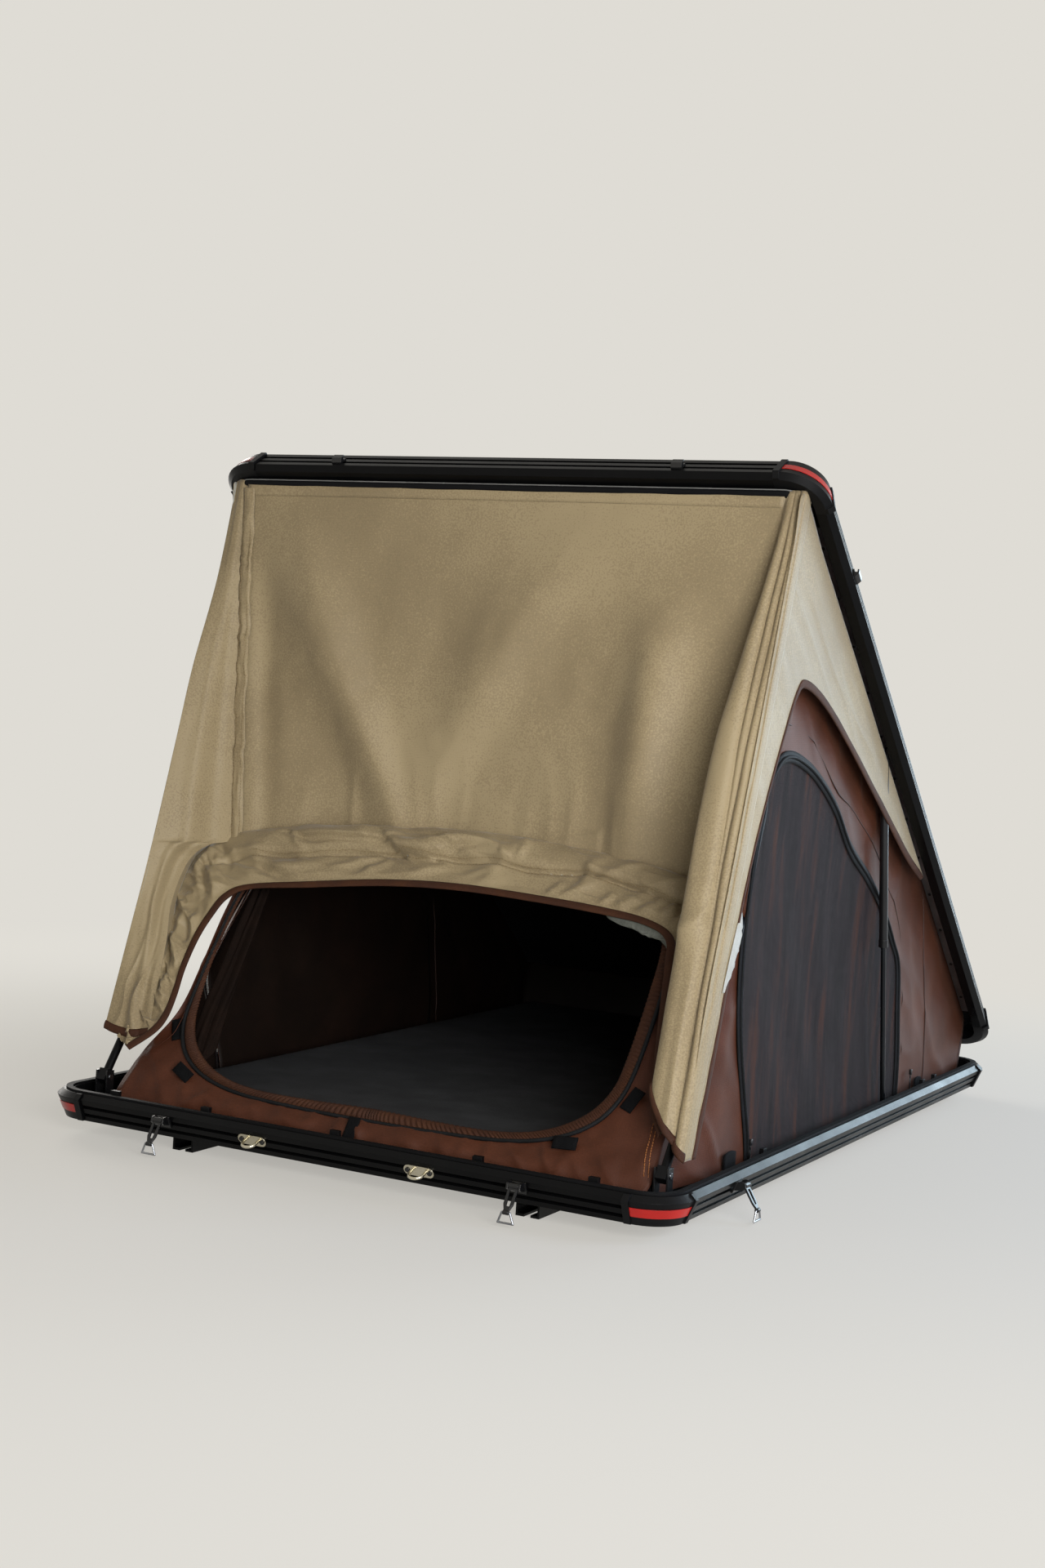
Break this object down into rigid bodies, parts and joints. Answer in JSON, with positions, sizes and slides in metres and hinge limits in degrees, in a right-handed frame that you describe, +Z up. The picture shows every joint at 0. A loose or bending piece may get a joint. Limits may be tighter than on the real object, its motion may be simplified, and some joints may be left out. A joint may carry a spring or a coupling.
{
  "type": "roof top tent",
  "caption": "Hard-shell wedge roof top tent: tray with mounting rails, rear-hinged lid on gas struts, folding hoop, cloth tent with door and mesh windows, mattress and draw latches.",
  "frame": {"origin": "middle of the tray, at the underside of the mounting rails", "axes": "+X to the right when facing the door from outside, +Y from the door to the hinge, +Z up"},
  "size_m": [1.5422, 2.1941, 1.4884],
  "materials": {
    "black_rail": "satin",
    "black_cap": "satin",
    "red_reflector": "gloss",
    "seal": "matte",
    "panel": "matte",
    "black_steel": "satin",
    "bright_steel": "satin",
    "zinc_pin": "satin",
    "black_plastic": "matte",
    "strip": "satin",
    "tan_cloth": "matte",
    "brown_cloth": "matte",
    "mesh": "matte",
    "mattress_cover": "matte"
  },
  "bodies": {
    "base": {"floor_panel": "panel", "base_rail_front": "black_rail", "base_rail_rear": "black_rail", "base_rail_left": "black_rail", "base_rail_right": "black_rail", "base_caps": "black_cap", "base_reflectors": "red_reflector", "base_seal": "seal", "mounting_rail_left": "black_rail", "mounting_rail_right": "black_rail", "hinge_base_leaves": "black_steel", "hinge_pins": "zinc_pin", "ladder_eyes": "bright_steel", "ladder_eye_screws": "black_steel", "latch_brackets": "black_steel", "strut_base_brackets": "black_steel", "hoop_brackets": "black_steel", "hoop_pins": "zinc_pin", "hem_buckles": "black_plastic", "mattress": "mattress_cover", "tent_front": "brown_cloth", "tent_front_upper": "brown_cloth", "tent_left": "brown_cloth", "tent_right": "brown_cloth", "tent_rear": "brown_cloth", "mesh_windows": "mesh", "fly_front": "tan_cloth", "fly_hood": "tan_cloth", "fly_corner_left": "tan_cloth", "fly_corner_right": "tan_cloth", "fly_side_left": "tan_cloth", "fly_side_right": "tan_cloth"},
    "lid": {"roof_panel": "panel", "lid_rail_front": "black_rail", "lid_rail_rear": "black_rail", "lid_rail_left": "black_rail", "lid_rail_right": "black_rail", "lid_caps": "black_cap", "lid_reflectors": "red_reflector", "hinge_lid_leaves": "black_steel", "lid_catches": "black_steel", "strut_lid_brackets": "black_steel", "lid_battens": "strip", "batten_screws": "black_steel"},
    "strut_rod_left": {"strut_rod_left": "black_steel"},
    "strut_cylinder_left": {"strut_cylinder_left": "black_steel"},
    "strut_rod_right": {"strut_rod_right": "black_steel"},
    "strut_cylinder_right": {"strut_cylinder_right": "black_steel"},
    "hoop": {"hoop_blocks": "black_plastic", "hoop_legs": "black_rail", "hoop_elbows": "black_rail", "hoop_crossbar": "black_rail"},
    "latch_lever_front_left": {"latch_levers_front_left": "black_steel"},
    "latch_bail_front_left": {"latch_bails_front_left": "bright_steel"},
    "latch_lever_front_right": {"latch_levers_front_right": "black_steel"},
    "latch_bail_front_right": {"latch_bails_front_right": "bright_steel"},
    "latch_lever_left": {"latch_levers_left": "black_steel"},
    "latch_bail_left": {"latch_bails_left": "bright_steel"},
    "latch_lever_right": {"latch_levers_right": "black_steel"},
    "latch_bail_right": {"latch_bails_right": "bright_steel"}
  },
  "joints": [
    {"name": "lid_hinge", "type": "hinge", "parent": "base", "child": "lid", "pos_m": [0, 1.088, 0.0955], "axis": [1, 0, 0], "range_deg": [0, 39.2], "deforming": ["tent_front", "tent_front_upper", "tent_left", "tent_right", "tent_rear", "mesh_windows", "fly_front", "fly_hood", "fly_corner_left", "fly_corner_right", "fly_side_left", "fly_side_right"]},
    {"name": "hoop_fold", "type": "hinge", "parent": "base", "child": "hoop", "pos_m": [0, -0.933, 0.113], "axis": [1, 0, 0], "range_deg": [-55.5, 0]},
    {"name": "strut_left_swing", "type": "hinge", "parent": "base", "child": "strut_rod_left", "pos_m": [-0.675, 0.298, 0.072], "axis": [1, 0, 0], "range_deg": [0, 72.96]},
    {"name": "strut_left_stroke", "type": "slide", "parent": "strut_rod_left", "child": "strut_cylinder_left", "axis": [0, -0.2125, 0.9772], "range_m": [-0.3777, 0]},
    {"name": "strut_right_swing", "type": "hinge", "parent": "base", "child": "strut_rod_right", "pos_m": [0.675, 0.298, 0.072], "axis": [1, 0, 0], "range_deg": [0, 72.96]},
    {"name": "strut_right_stroke", "type": "slide", "parent": "strut_rod_right", "child": "strut_cylinder_right", "axis": [0, -0.2125, 0.9772], "range_m": [-0.3777, 0]},
    {"name": "latch_front_left_lever", "type": "hinge", "parent": "base", "child": "latch_lever_front_left", "pos_m": [-0.408, -1.064, 0.074], "axis": [-1, 0, 0], "range_deg": [-32, 68]},
    {"name": "latch_front_left_bail", "type": "hinge", "parent": "latch_lever_front_left", "child": "latch_bail_front_left", "pos_m": [-0.408, -1.09156, 0.0299], "axis": [-1, 0, 0], "range_deg": [-45, 45]},
    {"name": "latch_front_right_lever", "type": "hinge", "parent": "base", "child": "latch_lever_front_right", "pos_m": [0.408, -1.064, 0.074], "axis": [-1, 0, 0], "range_deg": [-32, 68]},
    {"name": "latch_front_right_bail", "type": "hinge", "parent": "latch_lever_front_right", "child": "latch_bail_front_right", "pos_m": [0.408, -1.09156, 0.0299], "axis": [-1, 0, 0], "range_deg": [-45, 45]},
    {"name": "latch_left_lever", "type": "hinge", "parent": "base", "child": "latch_lever_left", "pos_m": [-0.739, -0.735, 0.074], "axis": [0, 1, 0], "range_deg": [-32, 68]},
    {"name": "latch_left_bail", "type": "hinge", "parent": "latch_lever_left", "child": "latch_bail_left", "pos_m": [-0.76656, -0.735, 0.0299], "axis": [0, 1, 0], "range_deg": [-45, 45]},
    {"name": "latch_right_lever", "type": "hinge", "parent": "base", "child": "latch_lever_right", "pos_m": [0.739, -0.735, 0.074], "axis": [0, -1, 0], "range_deg": [-32, 68]},
    {"name": "latch_right_bail", "type": "hinge", "parent": "latch_lever_right", "child": "latch_bail_right", "pos_m": [0.76656, -0.735, 0.0299], "axis": [0, -1, 0], "range_deg": [-45, 45]}
  ],
  "couplings": [
    {"joint": "hoop_fold", "follows": "lid_hinge", "ratio": -1.4157},
    {"joint": "strut_left_swing", "follows": "lid_hinge", "ratio": 1.8609},
    {"joint": "strut_left_stroke", "follows": "lid_hinge", "m_per_rad": -0.55193},
    {"joint": "strut_right_swing", "follows": "lid_hinge", "ratio": 1.8609},
    {"joint": "strut_right_stroke", "follows": "lid_hinge", "m_per_rad": -0.55193}
  ]
}
